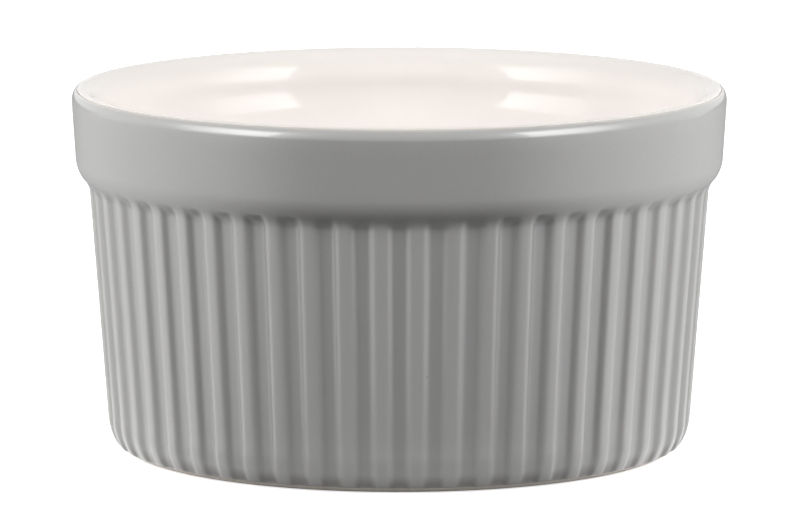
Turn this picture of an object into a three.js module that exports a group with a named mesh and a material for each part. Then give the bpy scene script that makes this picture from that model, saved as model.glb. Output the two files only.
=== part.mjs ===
// A small round baking dish of fired stoneware: a fluted wall under a plain band, on a low foot ring.
// The clay body is one fired piece, and three coats of glaze are fused to it: grey outside, white inside
// and over the lip, and grey again in the hollow of the base. The foot ring stays bare.
// Millimetres, +Z up. The origin is on the table under the middle of the dish, and -Y is the front.
import * as THREE from "three";
import { mergeGeometries, mergeVertices } from "three/addons/utils/BufferGeometryUtils.js";

const degrees = THREE.MathUtils.degToRad;

// Overall sizes, measured over the glaze
const rimDiameter = 90;
const dishHeight = 50;

// The band below the lip leans out towards the rim
const bandHeight = 9.3;
const bandThickness = 3.2;
const bandDraft = degrees(3.6);

// The lip is a full round: a short outer quarter and a long inner one, which meet at the crown
const lipOuterReach = 1.1;
const lipOuterDrop = 2;
const lipInnerDrop = 5;

// The outer shoulder brings the band in to the ribs: it rounds under to a tilt and fills out to the wall.
// The inner shoulder ends higher and is one gentle S-curve.
const shoulderRound = 4.2;
const shoulderFillet = 3.3;
const shoulderTilt = degrees(42);
const shoulderLift = 1.8;
const innerStraight = 0.7;

// The fluted wall, with the clay left behind the valleys. A flute has a flat floor and two flanks, given as
// shares of its pitch. It runs out at the top, a gap below the band, and at the foot, where the glaze ends.
const wallDraft = degrees(4.4);
const wallThickness = 3;
const fluteCount = 54;
const fluteDepth = 0.8;
const fluteFloorShare = 1 / 3;
const fluteFlankShare = 1 / 6;
const fluteTopGap = 1.8;
const fluteTopRunOut = 2.7;
const fluteFootRunOut = 1.2;

// The foot: the wall rounds under to a bare ring, and the base is hollow inside the ring
const footRoundHeight = 5.6;
const footRoundReach = 3.2;
const footRingWidth = 2.8;
const recessDepth = 1.2;
const recessSlope = 1;

// The floor and the round corner that joins it to the wall
const floorThickness = 3.8;
const floorRound = 6;

// The glaze: its thickness, how thin it runs at its edges, and how much more of it lies in the valleys
const outerGlaze = 0.35;
const innerGlaze = 0.35;
const baseGlaze = 0.25;
const glazeEdge = 0.12;
const glazePooling = 0.15;
const baseGlazeMargin = 0.8;

// Where the coats end, as angles round the lip's outer quarter and round the foot.
// The clay shows as a hairline between the grey edge and the white edge.
const greyEdgeAngle = degrees(60);
const whiteEdgeAngle = degrees(65);
const footGlazeAngle = degrees(60);

// Steps along each curve inside and outside, and corners of a plain ring
const innerSteps = 3;
const outerSteps = 2;
const plainCorners = 48;

// Two coordinates that match to this distance are one vertex
const weldDistance = 1e-4;

// Heights and radii of the clay, worked out from the sizes above
const clayTop = dishHeight - innerGlaze;
const clayRimRadius = rimDiameter / 2 - outerGlaze;
const lipCrownRadius = clayRimRadius - lipOuterReach;
const bandTop = clayTop - lipOuterDrop;
const bandBottom = clayTop - bandHeight;
const bandBottomRadius = clayRimRadius - (bandTop - bandBottom) * Math.tan(bandDraft);
const tiltRadius = bandBottomRadius - shoulderRound * (Math.cos(bandDraft) - Math.cos(shoulderTilt));
const tiltHeight = bandBottom - shoulderRound * (Math.sin(shoulderTilt) - Math.sin(bandDraft));
const wallTopRadius = tiltRadius - shoulderFillet * (Math.cos(wallDraft) - Math.cos(shoulderTilt));
const wallTop = tiltHeight - shoulderFillet * (Math.sin(shoulderTilt) - Math.sin(wallDraft));
const clayFluteDepth = fluteDepth + glazePooling;
const crestRadius = (z) => wallTopRadius - (wallTop - z) * Math.tan(wallDraft);
const innerWallRadius = (z) => crestRadius(z) - clayFluteDepth - wallThickness;
const footRadius = crestRadius(footRoundHeight) - footRoundReach;
const recessRadius = footRadius - footRingWidth - recessSlope;
const floorTop = recessDepth + floorThickness;
const lipInnerReach = bandThickness - lipOuterReach;
const innerBandTop = clayTop - lipInnerDrop;
const innerWallTop = wallTop + shoulderLift;

// One station of a profile: a radius, a height, the way the clay faces there (in radius and height),
// and the share of the flute depth that is cut there, or null where the ring is plain.
const station = (r, z, facing, flute = null) => ({ r, z, facing, flute });
const up = new THREE.Vector2(0, 1);
const down = new THREE.Vector2(0, -1);

// Stations round a quarter of an ellipse at the given angles, from its reach (0) to its rise (90 degrees).
// A hollow quarter faces its own centre.
function quarter(centreR, centreZ, reach, rise, angles, hollow = false) {
  return angles.map((angle) => {
    const cos = Math.cos(angle);
    const sin = Math.sin(angle);
    const facing = new THREE.Vector2(cos / reach, sin / rise).normalize();
    return station(centreR + reach * cos, centreZ + rise * sin, hollow ? facing.negate() : facing);
  });
}

// Stations down an arc on the outside that starts at a place and turns from one draft to another.
function bend(fromR, fromZ, radius, fromDraft, toDraft) {
  const turned = toDraft > fromDraft ? radius : -radius;
  return spread(fromDraft, toDraft, outerSteps).map((draft) => {
    const facing = new THREE.Vector2(Math.cos(draft), -Math.sin(draft));
    const inward = turned * (Math.cos(fromDraft) - Math.cos(draft));
    const lower = turned * (Math.sin(draft) - Math.sin(fromDraft));
    return station(fromR - inward, fromZ - lower, facing);
  });
}

// Stations down an S-curve on the inside, from one place to a lower one, with the draft given at each.
function innerCurve(fromR, fromZ, fromDraft, toR, toZ, toDraft) {
  const third = (fromZ - toZ) / 3;
  const curve = new THREE.CubicBezierCurve(
    new THREE.Vector2(fromR, fromZ),
    new THREE.Vector2(fromR - third * Math.tan(fromDraft), fromZ - third),
    new THREE.Vector2(toR + third * Math.tan(toDraft), toZ + third),
    new THREE.Vector2(toR, toZ),
  );
  return spread(0, 1, innerSteps).map((t) => {
    const { x, y } = curve.getPoint(t);
    const tangent = curve.getTangent(t);
    return station(x, y, new THREE.Vector2(tangent.y, -tangent.x));
  });
}

// Evenly spaced values from one to another, both ends included.
function spread(from, to, steps) {
  return Array.from({ length: steps + 1 }, (_, i) => from + ((to - from) * i) / steps);
}

// The underside of the clay, from the axis out to the inner edge of the foot ring.
const underside = [
  station(0, recessDepth, down),
  station(recessRadius - baseGlazeMargin, recessDepth, down),
  station(recessRadius, recessDepth, down),
  station(footRadius - footRingWidth, 0, down),
];

// The outside of the clay, from the foot ring up to the grey glaze's edge on the lip.
// The flutes are cut to full depth on the wall, and run out in the foot's round and in the shoulder.
const footAngles = spread(footGlazeAngle, 0, outerSteps);
const footRound = quarter(footRadius, footRoundHeight, footRoundReach, -footRoundHeight, footAngles);
const glazeFoot = footRound[0].z;
footRound.forEach((s, i) => {
  const endOfFlute = THREE.MathUtils.smoothstep(s.z - glazeFoot, 0, fluteFootRunOut);
  s.flute = Math.cos(footAngles[i]) * endOfFlute;
});
const outerShoulder = [
  ...bend(bandBottomRadius, bandBottom, shoulderRound, bandDraft, shoulderTilt),
  ...bend(tiltRadius, tiltHeight, shoulderFillet, shoulderTilt, wallDraft).slice(1),
].reverse();
outerShoulder.slice(0, -1).forEach((s) => {
  s.flute = THREE.MathUtils.smoothstep(bandBottom - fluteTopGap - s.z, 0, fluteTopRunOut);
});
const lipOuter = (angles) => quarter(lipCrownRadius, bandTop, lipOuterReach, lipOuterDrop, angles);
const outside = [
  station(footRadius, 0, down),
  ...footRound,
  ...outerShoulder,
  ...lipOuter([0, greyEdgeAngle / 2, greyEdgeAngle]),
];

// The inside of the clay, from the white glaze's edge over the crown and down to the middle of the floor.
const lipInner = quarter(
  lipCrownRadius,
  innerBandTop,
  -lipInnerReach,
  lipInnerDrop,
  spread(Math.PI / 2, 0, innerSteps),
);
const innerShoulder = innerCurve(
  lipCrownRadius - lipInnerReach - innerStraight * Math.tan(bandDraft),
  innerBandTop - innerStraight,
  bandDraft,
  innerWallRadius(innerWallTop),
  innerWallTop,
  wallDraft,
);
const floorCorner = quarter(
  innerWallRadius(floorTop + floorRound) - floorRound,
  floorTop + floorRound,
  floorRound,
  -floorRound,
  spread(0, Math.PI / 2, innerSteps),
  true,
);
const inside = [
  ...lipOuter([whiteEdgeAngle]),
  ...lipInner,
  ...innerShoulder,
  ...floorCorner,
  station(0, floorTop, up),
];

// The stations of a coat's open face: the clay's own stations moved out the way they face.
// The coat thins to its edge at the first and last station, unless that station is on the axis.
function coat(stations, thickness) {
  return stations.map(({ r, z, facing, flute }, i) => {
    const atEdge = r > 0 && (i === 0 || i === stations.length - 1);
    const depth = atEdge ? glazeEdge : thickness;
    return station(r + facing.x * depth, z + facing.y * depth, facing, flute);
  });
}

// The corners of one ring. A fluted ring has four to each flute: two at the edges of its floor, and two at
// those of the crest beside it. The floor of one flute faces the front.
function ringCorners({ r, z, flute }, depth) {
  if (r === 0) return [new THREE.Vector3(0, 0, z)];
  const fullTurn = 2 * Math.PI;
  const corner = (turn, cut) => {
    const reach = r - cut;
    return new THREE.Vector3(reach * Math.sin(turn), -reach * Math.cos(turn), z);
  };
  if (flute === null) {
    return Array.from({ length: plainCorners }, (_, i) => corner((i / plainCorners) * fullTurn, 0));
  }
  const floorEdge = fluteFloorShare / 2;
  const crestEdge = floorEdge + fluteFlankShare;
  const cut = depth * flute;
  return Array.from({ length: fluteCount }, (_, i) => [
    corner(((i - floorEdge) / fluteCount) * fullTurn, cut),
    corner(((i + floorEdge) / fluteCount) * fullTurn, cut),
    corner(((i + crestEdge) / fluteCount) * fullTurn, 0),
    corner(((i + 1 - crestEdge) / fluteCount) * fullTurn, 0),
  ]).flat();
}

// Triangles between two rings: walk round both, and always step along the ring that lags.
function stitch(lower, upper, lowerStart, upperStart) {
  const triangles = [];
  const m = lower.length === 1 ? 0 : lower.length;
  const n = upper.length === 1 ? 0 : upper.length;
  const a = (i) => lowerStart + (m ? i % m : 0);
  const b = (j) => upperStart + (n ? j % n : 0);
  let i = 0;
  let j = 0;
  while (i < m || j < n) {
    const stepLower = j === n || (i < m && (i + 1) * n <= (j + 1) * m);
    if (stepLower) {
      triangles.push(a(i), a(i + 1), b(j));
      i += 1;
    } else {
      triangles.push(a(i), b(j + 1), b(j));
      j += 1;
    }
  }
  return triangles;
}

// A surface through rings. It faces the right-hand side of the profile, or the left if flipped.
function skin(rings, flipped = false) {
  const index = [];
  let start = 0;
  for (let k = 0; k + 1 < rings.length; k += 1) {
    const next = start + rings[k].length;
    index.push(...stitch(rings[k], rings[k + 1], start, next));
    start = next;
  }
  if (flipped) index.reverse();
  return new THREE.BufferGeometry().setFromPoints(rings.flat()).setIndex(index);
}

const clayRings = (stations) => stations.map((s) => ringCorners(s, clayFluteDepth));
const glazeRings = (stations) => stations.map((s) => ringCorners(s, fluteDepth));

// A closed solid from the surfaces that bound it.
function solid(...skins) {
  const welded = mergeVertices(mergeGeometries(skins), weldDistance);
  welded.computeVertexNormals();
  return welded;
}

// A coat of glaze on a stretch of the clay: its open face, the face bonded to the clay, and its edges.
function glazeSolid(stations, thickness) {
  const open = glazeRings(coat(stations, thickness));
  const bonded = clayRings(stations);
  const skins = [skin(open), skin(bonded, true)];
  if (stations[0].r > 0) skins.push(skin([bonded[0], open[0]]));
  if (stations.at(-1).r > 0) skins.push(skin([open.at(-1), bonded.at(-1)]));
  return solid(...skins);
}

// The finishes: bare fired clay, satin grey glaze and glossy white glaze
const bareClay = new THREE.MeshStandardMaterial({ color: 0xd8c9b4, roughness: 0.85, metalness: 0 });
const greyGlaze = new THREE.MeshStandardMaterial({ color: 0x9c9c9a, roughness: 0.32, metalness: 0 });
const whiteGlaze = new THREE.MeshStandardMaterial({ color: 0xf3eee8, roughness: 0.08, metalness: 0 });

function piece(name, geometry, material) {
  const mesh = new THREE.Mesh(geometry, material.clone());
  mesh.name = name;
  return mesh;
}

const dish = new THREE.Group();
dish.add(
  piece("stoneware_body", solid(skin(clayRings([...underside, ...outside, ...inside]))), bareClay),
  piece("outer_glaze", glazeSolid(outside.slice(1), outerGlaze), greyGlaze),
  piece("inner_glaze", glazeSolid(inside, innerGlaze), whiteGlaze),
  piece("base_glaze", glazeSolid(underside.slice(0, 2), baseGlaze), greyGlaze),
);

export default dish;
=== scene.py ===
"""The finished look of a small fluted baking dish: grey glaze outside, white inside, a bare clay foot.

Each solid of the frame is replaced by a finer mesh of the same form. Sizes of the dish are in millimetres,
and meshes are made in metres. The front of the dish faces -Y, and angles round it are counted from the front
towards +X.
"""

import math

import bpy
import numpy as np
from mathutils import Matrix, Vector


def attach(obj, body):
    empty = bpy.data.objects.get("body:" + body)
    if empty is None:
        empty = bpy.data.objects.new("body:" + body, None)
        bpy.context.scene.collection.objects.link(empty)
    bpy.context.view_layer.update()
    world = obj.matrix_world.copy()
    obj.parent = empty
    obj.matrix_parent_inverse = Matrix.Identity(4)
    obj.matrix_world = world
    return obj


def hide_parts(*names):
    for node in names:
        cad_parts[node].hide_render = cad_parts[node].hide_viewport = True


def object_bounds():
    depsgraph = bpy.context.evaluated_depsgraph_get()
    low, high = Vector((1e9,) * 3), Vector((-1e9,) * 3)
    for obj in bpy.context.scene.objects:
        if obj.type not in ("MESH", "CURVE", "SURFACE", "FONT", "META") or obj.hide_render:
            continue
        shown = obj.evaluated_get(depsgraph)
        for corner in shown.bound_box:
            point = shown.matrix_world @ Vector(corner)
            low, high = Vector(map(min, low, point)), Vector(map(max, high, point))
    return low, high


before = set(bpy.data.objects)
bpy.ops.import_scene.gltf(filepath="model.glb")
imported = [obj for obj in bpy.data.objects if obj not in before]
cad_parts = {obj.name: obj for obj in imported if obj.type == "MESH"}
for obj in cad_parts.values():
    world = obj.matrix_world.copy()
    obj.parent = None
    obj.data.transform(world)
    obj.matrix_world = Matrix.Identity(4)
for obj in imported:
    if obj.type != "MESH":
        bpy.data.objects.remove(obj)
cad_low, cad_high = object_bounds()

MM = 0.001
SEED = 7

# Overall sizes of the dish, from the frame
RIM_RADIUS = cad_high.x / MM
DISH_HEIGHT = cad_high.z / MM

# The band under the lip, and the lip's outer and inner quarters
BAND_HEIGHT = 9.3
BAND_THICKNESS = 3.2
BAND_DRAFT = math.radians(3.6)
LIP_OUTER_REACH = 0.8
LIP_OUTER_DROP = 1.4
LIP_INNER_DROP = 4.4

# The shoulder that brings the band in to the ribs, outside and inside
SHOULDER_ROUND = 4.2
SHOULDER_FILLET = 3.3
SHOULDER_TILT = math.radians(42)
INNER_HOLLOW = 9.5
INNER_ROUND = 6.5

# The fluted wall
WALL_DRAFT = math.radians(4.4)
WALL_THICKNESS = 3
FLUTE_COUNT = 54
FLUTE_DEPTH = 0.78
FLUTE_FLATNESS = 2.2
FLUTE_VARIATION = 0.15
FLUTE_TOP_GAP = 1.8
FLUTE_TOP_RUN_OUT = 2.7
FLUTE_FOOT_RUN_OUT = 0.5

# The foot and the floor
FOOT_ROUND_HEIGHT = 5.6
FOOT_ROUND_REACH = 3.2
FOOT_RING_WIDTH = 2.8
RECESS_DEPTH = 1.2
RECESS_SLOPE = 1
FLOOR_THICKNESS = 3.8
FLOOR_ROUND = 6

# The glaze coats: their thickness, where they end, and how an edge thins out, in a bead and a longer run
OUTER_GLAZE = 0.35
INNER_GLAZE = 0.35
BASE_GLAZE = 0.25
BASE_GLAZE_MARGIN = 0.8
LIP_EDGE_ANGLE = math.radians(70)
FOOT_GLAZE_ANGLE = math.radians(60)
GLAZE_EDGE_RUN = 0.5
GLAZE_BEAD_RUN = 0.12
GLAZE_BEAD_SHARE = 0.4

# The extra glaze in the valleys, and the uneven share of a coat's thickness: the waves of it that go round
# the dish, and how far they lean
GLAZE_POOLING = 0.15
GLAZE_UNEVENNESS = 0.12
UNEVEN_WAVES = (2, 3, 5, 8, 13, 21)
UNEVEN_LEAN = 6

# The dark pools at the lower ends of the flutes, partly pooled glaze and partly painted shade near the
# floor: the heights where they begin and are full, their strength on the ribs, and how deep in a valley they
# are full
POOL_SHADE_TOP = 3.0
POOL_SHADE_FULL = 1.2
POOL_SHADE_ON_RIBS = 0.35
PUDDLE_SHADE_VALLEY = 0.45

# How far below the top of the lip the darker colour of the white glaze, partly thinner glaze and partly
# painted shade, is full, and where it ends
RIM_SHADE_FULL = 1.3
RIM_SHADE_END = 3.2

# How finely the meshes are cut: columns round a piece, the longest step of a profile, and how many rows of a
# coat's open face go to one row of its hidden face
FLUTED_COLUMNS = FLUTE_COUNT * 18
BODY_COLUMNS = FLUTE_COUNT * 6
PLAIN_COLUMNS = 240
CURVE_STEP = 0.25
STRAIGHT_STEP = 2.0
BONDED_STRIDE = 3
SAME_POINT = 1e-6


# Profiles of the clay

clay_top = DISH_HEIGHT - INNER_GLAZE
clay_rim_radius = RIM_RADIUS - OUTER_GLAZE
lip_crown_radius = clay_rim_radius - LIP_OUTER_REACH
lip_inner_reach = BAND_THICKNESS - LIP_OUTER_REACH
band_top = clay_top - LIP_OUTER_DROP
band_bottom = clay_top - BAND_HEIGHT
band_bottom_radius = clay_rim_radius - (band_top - band_bottom) * math.tan(BAND_DRAFT)
tilt_sin = math.sin(SHOULDER_TILT)
tilt_cos = math.cos(SHOULDER_TILT)
shoulder_bend = band_bottom - SHOULDER_ROUND * (tilt_sin - math.sin(BAND_DRAFT))
shoulder_bend_radius = band_bottom_radius - SHOULDER_ROUND * (math.cos(BAND_DRAFT) - tilt_cos)
wall_top = shoulder_bend - SHOULDER_FILLET * (tilt_sin - math.sin(WALL_DRAFT))
wall_top_radius = shoulder_bend_radius - SHOULDER_FILLET * (math.cos(WALL_DRAFT) - tilt_cos)
clay_flute_depth = FLUTE_DEPTH + GLAZE_POOLING
glaze_foot = FOOT_ROUND_HEIGHT * (1 - math.sin(FOOT_GLAZE_ANGLE))
floor_top = RECESS_DEPTH + FLOOR_THICKNESS
inner_band_top = clay_top - LIP_INNER_DROP


def crest_radius(z):
    """Radius of the clay on the ribs' crests at a height on the wall."""
    return wall_top_radius - (wall_top - z) * math.tan(WALL_DRAFT)


def inner_wall_radius(z):
    """Radius of the clay inside the bowl at a height on the wall."""
    return crest_radius(z) - clay_flute_depth - WALL_THICKNESS


foot_radius = crest_radius(FOOT_ROUND_HEIGHT) - FOOT_ROUND_REACH
recess_radius = foot_radius - FOOT_RING_WIDTH - RECESS_SLOPE


def straight(start, end, step=STRAIGHT_STEP):
    """Points along a straight stretch of a profile, as rows of radius and height."""
    start, end = np.array(start, float), np.array(end, float)
    count = max(1, math.ceil(np.linalg.norm(end - start) / step))
    return start + (end - start) * np.linspace(0, 1, count + 1)[:, None]


def quarter(centre, reach, rise, start, end):
    """Points round part of an ellipse's quarter, from one angle to another."""
    count = max(2, math.ceil(abs(end - start) * max(abs(reach), abs(rise)) / CURVE_STEP))
    angle = np.linspace(start, end, count + 1)
    return np.column_stack([centre[0] + reach * np.cos(angle), centre[1] + rise * np.sin(angle)])


def bend(top, radius, from_draft, to_draft):
    """Points down an arc that starts at a point and turns from one draft to another."""
    count = max(2, math.ceil(abs(to_draft - from_draft) * radius / CURVE_STEP))
    draft = np.linspace(from_draft, to_draft, count + 1)
    turned = math.copysign(radius, to_draft - from_draft)
    inward = turned * (math.cos(from_draft) - np.cos(draft))
    down = turned * (np.sin(draft) - math.sin(from_draft))
    return np.column_stack([top[0] - inward, top[1] - down])


def inner_shoulder(top):
    """Points down the inner shoulder: a hollow arc from the lip, then a round one into the wall."""
    centre = np.array([top[0] - INNER_HOLLOW, top[1]])
    into_the_bowl = np.array([-math.cos(WALL_DRAFT), math.sin(WALL_DRAFT)])
    from_the_wall = (centre - (inner_wall_radius(0), 0)) @ into_the_bowl
    tilt = WALL_DRAFT + math.acos((INNER_ROUND + from_the_wall) / (INNER_HOLLOW + INNER_ROUND))
    hollow = bend(top, INNER_HOLLOW, 0, tilt)
    return joined(hollow, bend(hollow[-1], INNER_ROUND, tilt, WALL_DRAFT))


def joined(*stretches):
    """Stretches of a profile end to end, with each shared point kept once."""
    points = np.vstack(stretches)
    steps = np.linalg.norm(np.diff(points, axis=0), axis=1)
    return points[np.concatenate([[True], steps > SAME_POINT])]


def foot_round(start, end):
    """Points round the foot, where angle 0 is at the wall and a right angle at the foot ring."""
    return quarter((foot_radius, FOOT_ROUND_HEIGHT), FOOT_ROUND_REACH, -FOOT_ROUND_HEIGHT, start, end)


def lip_outer(start, end):
    """Points round the lip's outer quarter, where angle 0 is at the band and a right angle at the crown."""
    return quarter((lip_crown_radius, band_top), LIP_OUTER_REACH, LIP_OUTER_DROP, start, end)


def underside_profile():
    """From the axis out to the outer edge of the foot ring."""
    return joined(
        straight((0, RECESS_DEPTH), (recess_radius, RECESS_DEPTH)),
        straight((recess_radius, RECESS_DEPTH), (foot_radius - FOOT_RING_WIDTH, 0), CURVE_STEP),
        straight((foot_radius - FOOT_RING_WIDTH, 0), (foot_radius, 0), CURVE_STEP),
    )


def grey_profile():
    """The clay under the grey glaze, from just above the foot to the lip."""
    shoulder_round = bend((band_bottom_radius, band_bottom), SHOULDER_ROUND, BAND_DRAFT, SHOULDER_TILT)
    fillet_top = (shoulder_bend_radius, shoulder_bend)
    shoulder_fillet = bend(fillet_top, SHOULDER_FILLET, SHOULDER_TILT, WALL_DRAFT)
    return joined(
        foot_round(FOOT_GLAZE_ANGLE, 0),
        straight((crest_radius(FOOT_ROUND_HEIGHT), FOOT_ROUND_HEIGHT), (wall_top_radius, wall_top)),
        shoulder_fillet[::-1],
        shoulder_round[::-1],
        straight((band_bottom_radius, band_bottom), (clay_rim_radius, band_top)),
        lip_outer(0, LIP_EDGE_ANGLE),
    )


def white_profile():
    """The clay under the white glaze, from the lip's outer edge over the crown to the floor's middle."""
    shoulder = inner_shoulder((lip_crown_radius - lip_inner_reach, inner_band_top))
    corner_top = floor_top + FLOOR_ROUND
    corner_centre = (inner_wall_radius(corner_top) - FLOOR_ROUND, corner_top)
    return joined(
        lip_outer(LIP_EDGE_ANGLE, math.pi / 2),
        quarter((lip_crown_radius, inner_band_top), -lip_inner_reach, LIP_INNER_DROP, math.pi / 2, 0),
        shoulder,
        straight(shoulder[-1], (inner_wall_radius(corner_top), corner_top)),
        quarter(corner_centre, FLOOR_ROUND, -FLOOR_ROUND, 0, math.pi / 2),
        straight((corner_centre[0], floor_top), (0, floor_top)),
    )


def facing(profile):
    """The way the clay faces along a profile: the right-hand side of its direction."""
    along = np.gradient(profile, axis=0)
    along /= np.linalg.norm(along, axis=1, keepdims=True)
    return np.column_stack([along[:, 1], -along[:, 0]])


def smoothstep(x):
    """A smooth rise from 0 to 1 between 0 and 1."""
    x = np.clip(x, 0, 1)
    return x * x * (3 - 2 * x)


def flute_share(z):
    """Share of the flute depth at each height: full on the wall, none on the shoulder and the bare foot."""
    down_the_round = np.clip(1 - z / FOOT_ROUND_HEIGHT, 0, 1)
    in_the_foot = np.sqrt(1 - down_the_round**2) * smoothstep((z - glaze_foot) / FLUTE_FOOT_RUN_OUT)
    return in_the_foot * smoothstep((band_bottom - FLUTE_TOP_GAP - z) / FLUTE_TOP_RUN_OUT)


def foot_pool_and_shade(z):
    """How strong the dark pools at the lower ends of the flutes, partly pooled glaze and partly painted
    shade, are at each height, from 0 to 1.
    """
    return smoothstep((POOL_SHADE_TOP - z) / (POOL_SHADE_TOP - POOL_SHADE_FULL))


# Meshes


def rings(profile, depth, columns):
    """Points of a revolved profile, as rows of rings, and how deep in a valley each point lies (0 to 1)."""
    turn = np.arange(columns) / columns * 2 * math.pi
    wave = np.tanh(FLUTE_FLATNESS * np.cos(turn * FLUTE_COUNT)) / math.tanh(FLUTE_FLATNESS)
    own_depth = 1 - FLUTE_VARIATION * np.random.default_rng(SEED).uniform(0, 1, FLUTE_COUNT)
    nearest = np.round(turn * FLUTE_COUNT / (2 * math.pi)).astype(int) % FLUTE_COUNT
    valley = (1 + wave) / 2 * own_depth[nearest] * np.ones((len(profile), 1))
    radius = profile[:, :1] - np.reshape(depth, (-1, 1)) * valley
    height = profile[:, 1:] * np.ones(columns)
    return np.stack([radius * np.sin(turn), -radius * np.cos(turn), height], axis=2), valley


def unevenness(rows, columns):
    """A smooth wandering of a coat's thickness over its rows and columns, from 0 to 1."""
    draw = np.random.default_rng(SEED)
    turn = np.arange(columns) / columns * 2 * math.pi
    up = np.linspace(0, 1, rows)[:, None]
    total = np.zeros((rows, columns))
    for waves in UNEVEN_WAVES:
        lean = draw.uniform(-UNEVEN_LEAN, UNEVEN_LEAN)
        phase = draw.uniform(0, 2 * math.pi)
        total += np.cos(waves * turn + lean * up + phase) / math.sqrt(waves)
    return np.clip(0.5 + total / 4, 0, 1)


def edge_cover(profile, start_edge, end_edge):
    """How fully a coat covers the clay along its profile: at an edge, a bead and then a slow swelling."""
    steps = np.linalg.norm(np.diff(profile, axis=0), axis=1)
    along = np.concatenate([[0], np.cumsum(steps)])
    cover = np.ones(len(profile))
    for edge, distance in ((start_edge, along), (end_edge, along[-1] - along)):
        if edge:
            u = np.clip(distance / GLAZE_BEAD_RUN, 0, 1)
            bead = GLAZE_BEAD_SHARE * np.sqrt(u * (2 - u))
            cover = np.minimum(cover, bead + (1 - GLAZE_BEAD_SHARE) * smoothstep(distance / GLAZE_EDGE_RUN))
    return cover


def make_mesh(name, points, values, closed):
    """A mesh through rings of points, with named values at its points.

    A ring of radius 0 becomes one point, and a closed mesh joins its last ring to its first.
    """
    verts, starts, kept = [], [], []
    for row, ring in enumerate(points):
        on_axis = np.abs(ring[:, :2]).max() < SAME_POINT
        starts.append((sum(len(v) for v in verts), on_axis))
        verts.append(ring[:1] if on_axis else ring)
        kept.append([value[row][:1] if on_axis else value[row] for value in values.values()])
    columns = points.shape[1]
    faces = []
    pairs = list(zip(starts, starts[1:])) + ([(starts[-1], starts[0])] if closed else [])
    here = np.arange(columns)
    after = (here + 1) % columns
    for (low, low_pole), (high, high_pole) in pairs:
        if low_pole:
            faces += np.column_stack([np.full(columns, low), high + after, high + here]).tolist()
        elif high_pole:
            faces += np.column_stack([low + here, low + after, np.full(columns, high)]).tolist()
        else:
            quads = np.column_stack([low + here, low + after, high + after, high + here])
            faces += quads.tolist()
    mesh = bpy.data.meshes.new(name)
    mesh.from_pydata((np.vstack(verts) * MM).tolist(), [], faces)
    for i, key in enumerate(values):
        layer = mesh.attributes.new(key, "FLOAT", "POINT")
        layer.data.foreach_set("value", np.concatenate([row[i] for row in kept]).astype(np.float32))
    mesh.shade_smooth()
    mesh.validate()
    piece = bpy.data.objects.new(name, mesh)
    bpy.context.scene.collection.objects.link(piece)
    return piece


def make_coat(name, profile, thickness, columns, fluted, start_edge, end_edge):
    """A coat of glaze as a closed solid: its open face, and the face bonded to the clay.

    A "thin" edge runs out on the clay, and a "fused" edge keeps its thickness, to meet another coat.
    """
    share = flute_share(profile[:, 1]) if fluted else np.zeros(len(profile))
    thinning = edge_cover(profile, start_edge == "thin", end_edge == "thin")
    bonded, valley = rings(profile, clay_flute_depth * share, columns)
    lifted = profile + facing(profile) * (thickness * thinning)[:, None]
    lifted[profile[:, 0] == 0, 0] = 0
    open_face, _ = rings(lifted, (clay_flute_depth - GLAZE_POOLING * thinning) * share, columns)
    sway = 1 - GLAZE_UNEVENNESS * unevenness(len(profile), columns)
    open_face = bonded + (open_face - bonded) * sway[:, :, None]
    # The dark pools at the lower ends of the flutes: partly pooled glaze, partly painted shade near the
    # floor
    gathered = POOL_SHADE_ON_RIBS + (1 - POOL_SHADE_ON_RIBS) * smoothstep(valley / PUDDLE_SHADE_VALLEY)
    puddle_and_shade = gathered * foot_pool_and_shade(profile[:, 1])[:, None]
    values = {
        "cover": edge_cover(profile, start_edge, end_edge)[:, None] * np.ones(columns),
        "pooled": valley * share[:, None],
        "rib": (1 - valley) * share[:, None],
        "puddle_and_shade": puddle_and_shade if fluted else 0 * puddle_and_shade,
    }
    front = np.arange(len(profile))
    back = np.unique(np.append(front[::BONDED_STRIDE], front[-1]))[::-1]
    if end_edge == "thin":
        back = back[1:]
    if start_edge == "thin":
        back = back[:-1]
    faces = [(open_face, front), (bonded, back)]
    if profile[-1, 0] == 0:
        faces.reverse()
    points = np.concatenate([face[rows] for face, rows in faces])
    values = {key: np.concatenate([value[rows] for _, rows in faces]) for key, value in values.items()}
    return make_mesh(name, points, values, bool(start_edge and end_edge))


def make_body():
    """The clay body, from the axis under the base round to the axis on the floor."""
    bare_foot = foot_round(math.pi / 2, FOOT_GLAZE_ANGLE)
    outside = joined(bare_foot, grey_profile())
    profile = joined(underside_profile(), outside, white_profile())
    first = len(underside_profile()) - 1
    share = np.zeros(len(profile))
    share[first : first + len(outside)] = flute_share(outside[:, 1])
    points, _ = rings(profile, clay_flute_depth * share, BODY_COLUMNS)
    return make_mesh("clay_body", points, {}, False)


# Materials


def node(tree, kind, settings=None, **inputs):
    """A new shader node.

    A setting is an attribute of the node, and an input is a value or another node's socket.
    """
    made = tree.nodes.new(kind)
    for name, value in (settings or {}).items():
        setattr(made, name, value)
    for name, value in inputs.items():
        connect(tree, made.inputs[name.replace("_", " ")], value)
    return made


def connect(tree, socket, value):
    """Link another node's socket to an input, or set the input to a value."""
    if isinstance(value, bpy.types.NodeSocket):
        tree.links.new(value, socket)
    else:
        socket.default_value = value


def arithmetic(tree, operation, *values):
    """The result of a sum on values or other nodes' sockets."""
    made = tree.nodes.new("ShaderNodeMath")
    made.operation = operation
    for socket, value in zip(made.inputs, values):
        connect(tree, socket, value)
    return made.outputs[0]


def ranged(tree, value, low, high, to_low, to_high):
    """A value carried from one range to another and held at its ends."""
    made = node(tree, "ShaderNodeMapRange", {"clamp": True}, Value=value)
    made.inputs["From Min"].default_value = low
    made.inputs["From Max"].default_value = high
    made.inputs["To Min"].default_value = to_low
    made.inputs["To Max"].default_value = to_high
    return made.outputs[0]


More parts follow.
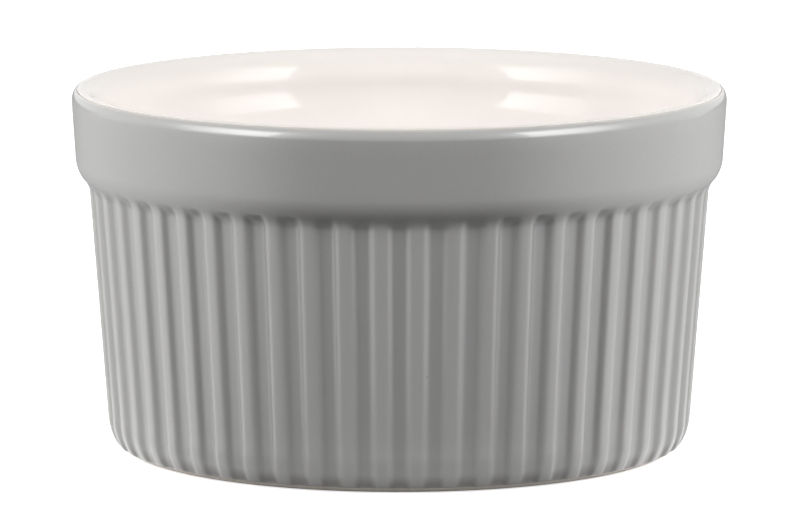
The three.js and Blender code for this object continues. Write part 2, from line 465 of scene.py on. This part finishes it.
def blended(tree, share, first, second):
    """Two colours mixed by a share."""
    made = tree.nodes.new("ShaderNodeMix")
    made.data_type = "RGBA"
    connect(tree, made.inputs[0], share)
    connect(tree, made.inputs[6], first)
    connect(tree, made.inputs[7], second)
    return made.outputs[2]


def noise(tree, place, size, detail=2.0):
    """Noise of about the given grain size in millimetres."""
    made = node(tree, "ShaderNodeTexNoise", Vector=place, Scale=1 / (size * MM), Detail=detail)
    return made.outputs[0]


def attribute(tree, name):
    """A value that the mesh holds at its points."""
    return node(tree, "ShaderNodeAttribute", {"attribute_name": name}).outputs["Fac"]


def new_material(name):
    """A material with a Principled shader, and the place of each point in the dish's own frame."""
    material = bpy.data.materials.new(name)
    material.use_nodes = True
    tree = material.node_tree
    shader = tree.nodes["Principled BSDF"]
    place = node(tree, "ShaderNodeTexCoord").outputs["Object"]
    return material, tree, shader, place


def specks(tree, place, spacing, size, share):
    """Small round spots in some cells of a pattern: 1 in a spot and 0 outside."""
    cells = node(
        tree, "ShaderNodeTexVoronoi", {"feature": "F1"}, Vector=place, Scale=1 / (spacing * MM)
    )
    radius = size / spacing / 2
    spot = ranged(tree, cells.outputs["Distance"], radius, radius * 0.5, 0, 1)
    pick = node(tree, "ShaderNodeSeparateColor", Color=cells.outputs["Color"]).outputs[0]
    return arithmetic(tree, "MULTIPLY", spot, ranged(tree, pick, share, share * 0.98, 0, 1))


# Colours of the clay and the glazes, and how they shine. A roughness in two numbers is a pattern's range.
CLAY_COLOUR = (0.66, 0.60, 0.54, 1)
SAND_COLOUR = (0.74, 0.68, 0.62, 1)
GREY_COLOUR = (0.350, 0.348, 0.341, 1)
GREY_DEEP_COLOUR = (0.333, 0.332, 0.328, 1)
GREY_RIB_COLOUR = (0.372, 0.370, 0.362, 1)
GREY_POOL_SHADE_COLOUR = (0.15, 0.145, 0.135, 1)
GREY_CLOUD_COLOUR = (0.362, 0.360, 0.352, 1)
GREY_GRIT_COLOUR = (0.332, 0.330, 0.325, 1)
SPECK_COLOUR = (0.10, 0.09, 0.08, 1)
GRAIN_COLOUR = (0.35, 0.26, 0.18, 1)
WHITE_COLOUR = (0.85, 0.805, 0.775, 1)
WHITE_CLOUD_COLOUR = (0.86, 0.82, 0.79, 1)
WHITE_RIM_SHADE_COLOUR = (0.80, 0.765, 0.735, 1)
CLAY_ROUGHNESS = 0.85
GREY_ROUGHNESS = (0.285, 0.305)
GREY_SPECULAR = 1.0
GREY_COAT = 0.6
GREY_COAT_ROUGHNESS = 0.03
WHITE_ROUGHNESS = (0.05, 0.09)
WHITE_SPECULAR = 0.3

# How much a colour takes over at most: the dark pools with their painted shade, the specks and grains, and
# the clay under thin glaze
POOL_SHADE_STRENGTH = 0.9
SPECK_STRENGTH = 0.8
GRAIN_STRENGTH = 0.5
THIN_STRENGTH = 0.5


def grey_glaze():
    """Satin grey glaze: faintly clouded and gritty, lighter on the ribs and darker where it pools, with
    painted shade at the lower ends of the flutes.

    It is warm where it thins over the clay, and it has a few specks.
    """
    material, tree, shader, place = new_material("grey_glaze")
    cloud = ranged(tree, noise(tree, place, size=16, detail=3), 0.35, 0.65, 0, 1)
    colour = blended(tree, cloud, GREY_COLOUR, GREY_CLOUD_COLOUR)
    grit = ranged(tree, noise(tree, place, size=0.35, detail=3), 0.35, 0.65, 0, 0.5)
    colour = blended(tree, grit, colour, GREY_GRIT_COLOUR)
    rib = attribute(tree, "rib")
    colour = blended(tree, ranged(tree, rib, 0.4, 0.9, 0, 1), colour, GREY_RIB_COLOUR)
    pooled = attribute(tree, "pooled")
    colour = blended(tree, ranged(tree, pooled, 0.5, 0.9, 0, 1), colour, GREY_DEEP_COLOUR)
    # Painted shade, with pooled glaze, at the lower ends of the flutes
    puddle_and_shade = attribute(tree, "puddle_and_shade")
    colour = blended(tree, ranged(tree, puddle_and_shade, 0, 1, 0, POOL_SHADE_STRENGTH), colour, GREY_POOL_SHADE_COLOUR)
    spots = specks(tree, place, spacing=3.4, size=0.34, share=0.10)
    colour = blended(tree, arithmetic(tree, "MULTIPLY", spots, SPECK_STRENGTH), colour, SPECK_COLOUR)
    thin = ranged(tree, attribute(tree, "cover"), 0.4, 0.85, THIN_STRENGTH, 0)
    colour = blended(tree, thin, colour, CLAY_COLOUR)
    tree.links.new(colour, shader.inputs["Base Color"])
    rough = ranged(tree, noise(tree, place, size=4), 0.3, 0.7, *GREY_ROUGHNESS)
    tree.links.new(rough, shader.inputs["Roughness"])
    grain = noise(tree, place, size=0.9)
    height = arithmetic(tree, "SUBTRACT", grain, arithmetic(tree, "MULTIPLY", spots, 1.5))
    bump = node(tree, "ShaderNodeBump", Height=height, Strength=0.12, Distance=0.02 * MM)
    tree.links.new(bump.outputs[0], shader.inputs["Normal"])
    shader.inputs["Specular IOR Level"].default_value = GREY_SPECULAR
    shader.inputs["Coat Weight"].default_value = GREY_COAT
    shader.inputs["Coat Roughness"].default_value = GREY_COAT_ROUGHNESS
    return material


def white_glaze():
    """Glossy warm-white glaze: faintly clouded, darker on the rim with thinner glaze and painted shade, and
    creamy where it thins at its edge.
    """
    material, tree, shader, place = new_material("white_glaze")
    cloud = ranged(tree, noise(tree, place, size=18), 0.35, 0.65, 0, 1)
    colour = blended(tree, cloud, WHITE_COLOUR, WHITE_CLOUD_COLOUR)
    height = node(tree, "ShaderNodeSeparateXYZ", Vector=place).outputs["Z"]
    # The rim's darker colour is partly thinner glaze and partly painted shade
    rim_end = (DISH_HEIGHT - RIM_SHADE_END) * MM
    rim_full = (DISH_HEIGHT - RIM_SHADE_FULL) * MM
    rim = ranged(tree, height, rim_end, rim_full, 0, 1)
    colour = blended(tree, rim, colour, WHITE_RIM_SHADE_COLOUR)
    thin = ranged(tree, attribute(tree, "cover"), 0.4, 0.8, THIN_STRENGTH, 0)
    colour = blended(tree, thin, colour, CLAY_COLOUR)
    tree.links.new(colour, shader.inputs["Base Color"])
    rough = ranged(tree, noise(tree, place, size=3), 0.3, 0.7, *WHITE_ROUGHNESS)
    tree.links.new(rough, shader.inputs["Roughness"])
    ripple = noise(tree, place, size=4, detail=1)
    bump = node(tree, "ShaderNodeBump", Height=ripple, Strength=0.08, Distance=0.03 * MM)
    tree.links.new(bump.outputs[0], shader.inputs["Normal"])
    shader.inputs["Specular IOR Level"].default_value = WHITE_SPECULAR
    return material


def bare_clay():
    """Unglazed stoneware: matt, cream, with fine sand and a few darker grains."""
    material, tree, shader, place = new_material("bare_clay")
    sand = noise(tree, place, size=0.5, detail=3)
    colour = blended(tree, ranged(tree, sand, 0.3, 0.7, 0, 1), CLAY_COLOUR, SAND_COLOUR)
    grains = specks(tree, place, spacing=1.3, size=0.3, share=0.15)
    colour = blended(tree, arithmetic(tree, "MULTIPLY", grains, GRAIN_STRENGTH), colour, GRAIN_COLOUR)
    tree.links.new(colour, shader.inputs["Base Color"])
    bump = node(tree, "ShaderNodeBump", Height=sand, Strength=0.5, Distance=0.05 * MM)
    tree.links.new(bump.outputs[0], shader.inputs["Normal"])
    shader.inputs["Roughness"].default_value = CLAY_ROUGHNESS
    return material


# The pieces


def dress(piece, material, node_name):
    """Give a piece its material, hang it on the root body, and hide the solid that it replaces."""
    piece.data.materials.append(material)
    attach(piece, "root")
    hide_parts(node_name)


grey = grey_glaze()
base_edge = (recess_radius - BASE_GLAZE_MARGIN, RECESS_DEPTH)
base_line = straight((0, RECESS_DEPTH), base_edge, CURVE_STEP * 2)
outer_coat = make_coat(
    "outer_glaze_coat", grey_profile(), OUTER_GLAZE, FLUTED_COLUMNS, True, "thin", "fused"
)
inner_coat = make_coat(
    "inner_glaze_coat", white_profile(), INNER_GLAZE, PLAIN_COLUMNS, False, "fused", None
)
base_coat = make_coat("base_glaze_coat", base_line, BASE_GLAZE, PLAIN_COLUMNS, False, None, "thin")
dress(make_body(), bare_clay(), "stoneware_body")
dress(outer_coat, grey, "outer_glaze")
dress(inner_coat, white_glaze(), "inner_glaze")
dress(base_coat, grey, "base_glaze")


# The studio: a white floor and background, and soft lamps that are alike on the left and on the right.
# Its places and sizes are in metres.

FLOOR_RADIUS = 4.0
FLOOR_CORNERS = 96

# The floor's colour as it is seen, and as its bounced light has it: in front of the dish, behind it, and in
# a ring under the foot
FLOOR_COLOUR = (0.8, 0.8, 0.8, 1)
FLOOR_DARK_COLOUR = (0.03, 0.03, 0.03, 1)
FLOOR_PALE_COLOUR = (0.45, 0.45, 0.45, 1)
FLOOR_RING_COLOUR = (0.38, 0.38, 0.38, 1)

# The floor glows less near the dish, where it keeps the shadow
FLOOR_GLOW_NEAR = 0.6
FLOOR_GLOW_FROM = 0.06
FLOOR_GLOW_TO = 0.60

# How bright the floor is in mirror images: in front of the dish, beside it and behind it, and the shares of
# the way to the side and the depths between which it changes
FLOOR_MIRRORED_FRONT = 0.1
FLOOR_MIRRORED_SIDE = 0.95
FLOOR_MIRRORED_BEHIND = 0.25
FLOOR_ASIDE_FROM = 0.50
FLOOR_ASIDE_TO = 0.90
FLOOR_BEHIND_FROM = -0.03
FLOOR_BEHIND_TO = 0.06

# The radii where the ring under the foot begins and is full
FLOOR_RING_OUTER = 0.046
FLOOR_RING_FULL = 0.041

# The sky's light on matt surfaces, which rises from the sides to this share of the way to the back
SKY_IN_FRONT = 0
SKY_BEHIND = 0.80
SKY_FULL_DEPTH = 0.9

# The lamps, this far from the middle of the dish. Angles are in degrees, and azimuth 0 is the front.
LAMP_DISTANCE = 1.0
SOFTBOX = {"azimuth": 60.5, "elevation": 18.5, "width": 0.71, "height": 0.52, "radiance": 2.5}
GLINT = {"azimuth": 64.5, "elevation": 18.5, "width": 0.71, "height": 0.52, "radiance": 7.2}
SIDE_STRIP = {"azimuth": 118, "elevation": 0.3, "width": 0.45, "height": 0.04, "radiance": 137}
SIDE_FILL = {"azimuth": 105, "elevation": 20, "width": 0.45, "height": 0.2, "radiance": 4.5}
HIGH_PANEL = {"azimuth": 60, "elevation": 36, "width": 0.8, "height": 0.6, "radiance": 3.7}
FRONT_STRIP = {"azimuth": 0, "elevation": 0.3, "width": 0.45, "height": 0.04, "radiance": 20}

# The share of the glint's light that is left at its edge away from the front
GLINT_FADE = 0.1

# The camera, with its lens and sensor in millimetres
CAMERA_PLACE = (0, -1.1, 0.1908)
CAMERA_AIM = (0.0001, 0, 0.025)
CAMERA_LENS = 363.3
CAMERA_SENSOR = 36
CAMERA_CLIP = 0.05


def seen_directly(tree, path):
    """1 on rays from the camera and through glass, where the background is seen as it is."""
    return arithmetic(tree, "MAXIMUM", path.outputs["Is Camera Ray"], path.outputs["Is Transmission Ray"])


def make_floor():
    """A round white floor that keeps the dish's shadow and runs into the white background."""
    mesh = bpy.data.meshes.new("floor")
    turn = np.arange(FLOOR_CORNERS) / FLOOR_CORNERS * 2 * math.pi
    edge = np.column_stack([np.cos(turn), np.sin(turn), 0 * turn]) * FLOOR_RADIUS
    mesh.from_pydata(edge.tolist(), [], [list(range(FLOOR_CORNERS))])
    floor = bpy.data.objects.new("floor", mesh)
    bpy.context.scene.collection.objects.link(floor)
    material = bpy.data.materials.new("white_floor")
    material.use_nodes = True
    tree = material.node_tree
    tree.nodes.remove(tree.nodes["Principled BSDF"])
    place = node(tree, "ShaderNodeTexCoord").outputs["Object"]
    distance = node(tree, "ShaderNodeVectorMath", {"operation": "LENGTH"}, Vector=place).outputs["Value"]
    path = node(tree, "ShaderNodeLightPath")
    seen = ranged(tree, distance, FLOOR_GLOW_FROM, FLOOR_GLOW_TO, FLOOR_GLOW_NEAR, 1)
    seen = arithmetic(tree, "MULTIPLY", seen, seen_directly(tree, path))
    split = node(tree, "ShaderNodeSeparateXYZ", Vector=place)
    aside = arithmetic(tree, "DIVIDE", arithmetic(tree, "ABSOLUTE", split.outputs["X"]), distance)
    behind = ranged(tree, split.outputs["Y"], FLOOR_BEHIND_FROM, FLOOR_BEHIND_TO, 0, 1)
    mirrored = ranged(
        tree, aside, FLOOR_ASIDE_FROM, FLOOR_ASIDE_TO, FLOOR_MIRRORED_FRONT, FLOOR_MIRRORED_SIDE
    )
    dimming = ranged(tree, behind, 0, 1, 1, FLOOR_MIRRORED_BEHIND / FLOOR_MIRRORED_SIDE)
    mirrored = arithmetic(tree, "MULTIPLY", mirrored, dimming)
    mirrored = arithmetic(tree, "MULTIPLY", mirrored, path.outputs["Is Glossy Ray"])
    strength = arithmetic(tree, "ADD", seen, mirrored)
    bounce = blended(tree, behind, FLOOR_DARK_COLOUR, FLOOR_PALE_COLOUR)
    under_foot = ranged(tree, distance, FLOOR_RING_OUTER, FLOOR_RING_FULL, 0, 1)
    bounce = blended(tree, under_foot, bounce, FLOOR_RING_COLOUR)
    colour = blended(tree, path.outputs["Is Camera Ray"], bounce, FLOOR_COLOUR)
    emission = node(tree, "ShaderNodeEmission", Strength=strength)
    diffuse = node(tree, "ShaderNodeBsdfDiffuse", Color=colour)
    both = tree.nodes.new("ShaderNodeAddShader")
    tree.links.new(emission.outputs[0], both.inputs[0])
    tree.links.new(diffuse.outputs[0], both.inputs[1])
    tree.links.new(both.outputs[0], tree.nodes["Material Output"].inputs["Surface"])
    mesh.materials.append(material)


def make_world():
    """White where it is seen or mirrored, and a soft light on the object from behind."""
    world = bpy.data.worlds.new("studio")
    world.use_nodes = True
    tree = world.node_tree
    path = node(tree, "ShaderNodeLightPath")
    seen = arithmetic(tree, "MAXIMUM", seen_directly(tree, path), path.outputs["Is Glossy Ray"])
    direction = node(tree, "ShaderNodeTexCoord").outputs["Generated"]
    depth = node(tree, "ShaderNodeSeparateXYZ", Vector=direction).outputs["Y"]
    sky = ranged(tree, depth, 0.0, SKY_FULL_DEPTH, SKY_IN_FRONT, SKY_BEHIND)
    strength = arithmetic(tree, "MAXIMUM", sky, seen)
    tree.links.new(strength, tree.nodes["Background"].inputs["Strength"])
    tree.nodes["Background"].inputs["Color"].default_value = (1, 1, 1, 1)
    bpy.context.scene.world = world


def make_panel(name, side, sizes, matt=True, mirrored=True):
    """A soft light panel that faces the middle of the dish, on its left (-1) or right (1) side.

    Its light on matt surfaces and its image in glossy ones can be left out.
    """
    turn = math.radians(side * sizes["azimuth"])
    rise = math.radians(sizes["elevation"])
    level = math.cos(rise)
    away = Vector((math.sin(turn) * level, -math.cos(turn) * level, math.sin(rise)))
    lamp = bpy.data.lights.new(name, "AREA")
    lamp.shape = "RECTANGLE"
    lamp.size = sizes["width"]
    lamp.size_y = sizes["height"]
    lamp.energy = sizes["radiance"] * math.pi * sizes["width"] * sizes["height"]
    panel = bpy.data.objects.new(name, lamp)
    bpy.context.scene.collection.objects.link(panel)
    panel.location = Vector((0, 0, DISH_HEIGHT * MM / 2)) + away * LAMP_DISTANCE
    panel.rotation_euler = away.to_track_quat("Z", "Y").to_euler()
    panel.visible_camera = False
    panel.visible_diffuse = matt
    panel.visible_glossy = mirrored
    return panel


def fade_outwards(panel, side):
    """Make a panel's light fade from its edge near the front to the other one."""
    lamp = panel.data
    lamp.use_nodes = True
    tree = lamp.node_tree
    across = node(tree, "ShaderNodeNewGeometry").outputs["Parametric"]
    place = node(tree, "ShaderNodeSeparateXYZ", Vector=across).outputs["X"]
    near, far = (1, 0) if side < 0 else (0, 1)
    strength = ranged(tree, place, far, near, GLINT_FADE, 1)
    tree.links.new(strength, tree.nodes["Emission"].inputs["Strength"])


def make_camera():
    """A long lens a little above the dish, in front of it."""
    lens = bpy.data.cameras.new("camera")
    lens.sensor_width = CAMERA_SENSOR
    lens.lens = CAMERA_LENS
    lens.clip_start = CAMERA_CLIP
    camera = bpy.data.objects.new("camera", lens)
    bpy.context.scene.collection.objects.link(camera)
    camera.location = CAMERA_PLACE
    aim = Vector(CAMERA_AIM) - camera.location
    camera.rotation_euler = aim.to_track_quat("-Z", "Y").to_euler()
    bpy.context.scene.camera = camera


make_floor()
make_world()
for side, word in ((-1, "left"), (1, "right")):
    make_panel(f"softbox_{word}", side, SOFTBOX, mirrored=False)
    glint = make_panel(f"glint_{word}", side, GLINT, matt=False)
    fade_outwards(glint, side)
    make_panel(f"side_strip_{word}", side, SIDE_STRIP, mirrored=False)
    make_panel(f"side_fill_{word}", side, SIDE_FILL, mirrored=False)
    make_panel(f"high_panel_{word}", side, HIGH_PANEL, mirrored=False)
make_panel("front_strip", 1, FRONT_STRIP, mirrored=False)
make_camera()
bpy.context.scene.view_settings.view_transform = "Standard"
